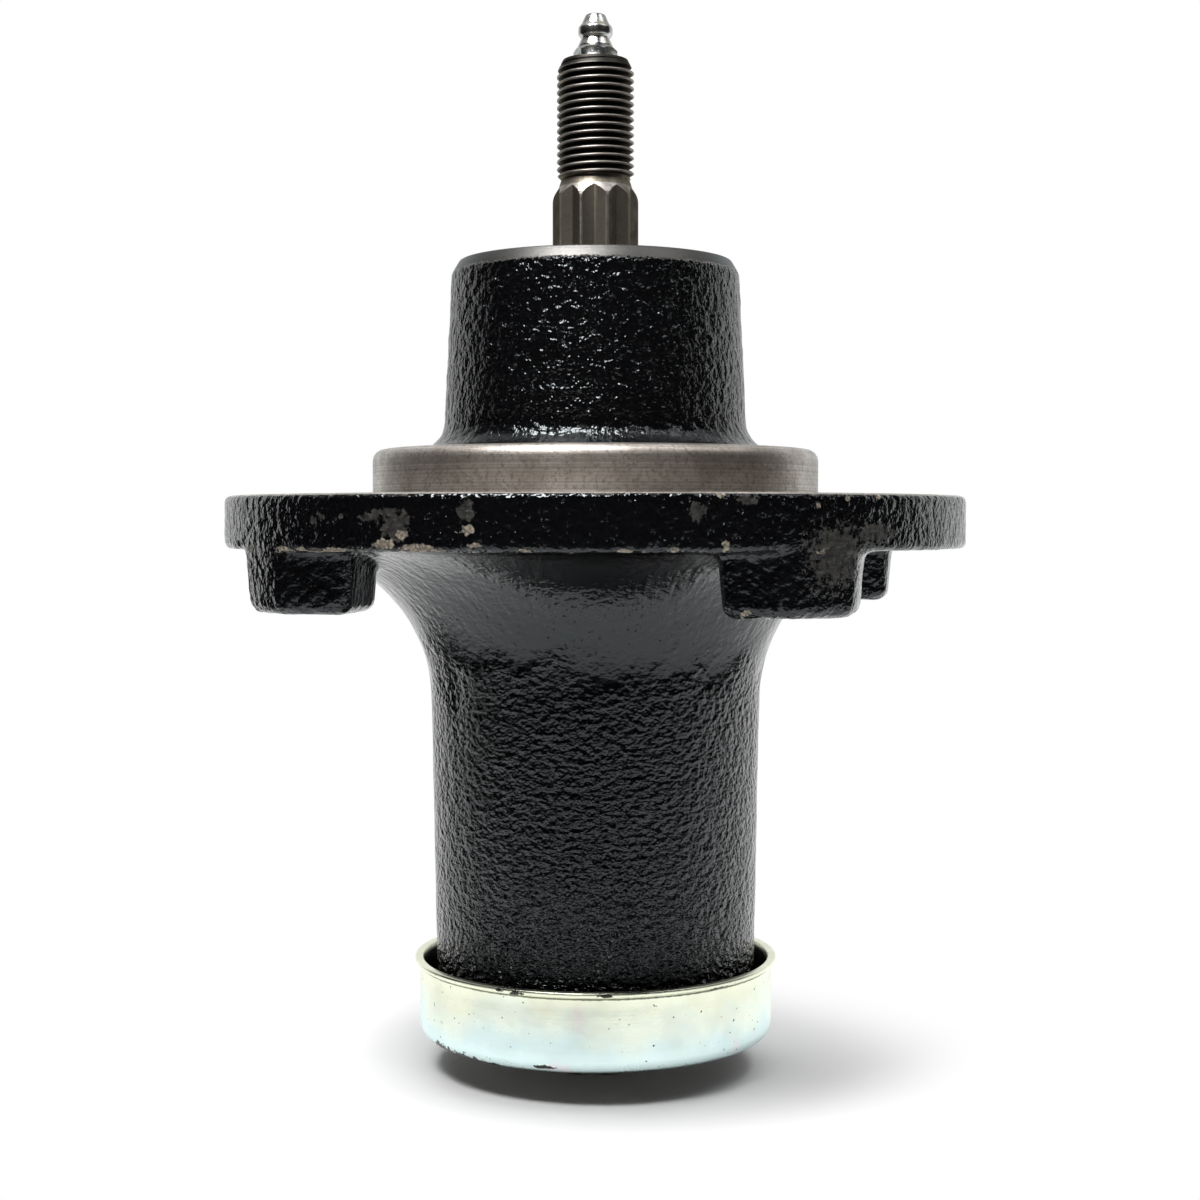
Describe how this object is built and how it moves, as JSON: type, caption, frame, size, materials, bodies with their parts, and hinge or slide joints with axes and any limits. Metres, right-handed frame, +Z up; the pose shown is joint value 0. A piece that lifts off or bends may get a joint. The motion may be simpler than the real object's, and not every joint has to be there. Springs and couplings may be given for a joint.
{
  "type": "mower deck spindle",
  "caption": "Flanged cast spindle housing on a bearing-carried shaft with a star spline and threaded end above and a plated dust cup below; it drives a cutting blade under a mower deck.",
  "frame": {"origin": "middle of the shaft's lower face, on the surface that the spindle stands on", "axes": "+Z up along the shaft towards its threaded end, X and Y square to the lugs' faces"},
  "size_m": [0.136, 0.136, 0.195],
  "materials": {
    "painted_casting": "gloss black paint over rough sand casting, pilot and faces machined bare",
    "shaft_steel": "turned, oiled",
    "tube_steel": "drawn tube",
    "plated_sheet": "zinc plated, passivated",
    "plated_fitting": "zinc plated",
    "bearing_steel": "ground and polished",
    "cage_steel": "pressed strip",
    "spring_steel": "drawn wire",
    "seal_rubber": "moulded, matt"
  },
  "bodies": {
    "housing": {"spindle_housing": "painted_casting", "upper_bearing_outer_ring": "bearing_steel", "upper_bearing_seal": "seal_rubber", "lower_bearing_outer_ring": "bearing_steel", "lower_bearing_seal": "seal_rubber"},
    "shaft": {"spindle_shaft": "shaft_steel", "bearing_spacer": "tube_steel", "dust_cup": "plated_sheet", "upper_bearing_inner_ring": "bearing_steel", "lower_bearing_inner_ring": "bearing_steel", "grease_fitting_body": "plated_fitting", "grease_fitting_spring": "spring_steel"},
    "upper_ball_set": {"upper_bearing_balls": "bearing_steel", "upper_bearing_cage_top": "cage_steel", "upper_bearing_cage_bottom": "cage_steel", "upper_bearing_cage_rivets": "cage_steel"},
    "lower_ball_set": {"lower_bearing_balls": "bearing_steel", "lower_bearing_cage_top": "cage_steel", "lower_bearing_cage_bottom": "cage_steel", "lower_bearing_cage_rivets": "cage_steel"},
    "check_ball": {"grease_fitting_ball": "bearing_steel"}
  },
  "joints": [
    {"name": "shaft_spin", "type": "hinge", "parent": "housing", "child": "shaft", "pos_m": [0, 0, 0], "axis": [0, 0, 1], "continuous": true},
    {"name": "upper_balls_orbit", "type": "hinge", "parent": "housing", "child": "upper_ball_set", "pos_m": [0, 0, 0.1404], "axis": [0, 0, 1], "continuous": true},
    {"name": "lower_balls_orbit", "type": "hinge", "parent": "housing", "child": "lower_ball_set", "pos_m": [0, 0, 0.02], "axis": [0, 0, 1], "continuous": true},
    {"name": "check_ball_press", "type": "slide", "parent": "shaft", "child": "check_ball", "axis": [0, 0, -1], "range_m": [0, 0.001], "stiffness_N_per_m": 400, "springref_m": -0.001, "deforming": ["grease_fitting_spring"]}
  ],
  "couplings": [
    {"joint": "upper_balls_orbit", "follows": "shaft_spin", "ratio": 0.38165},
    {"joint": "lower_balls_orbit", "follows": "shaft_spin", "ratio": 0.38152}
  ]
}
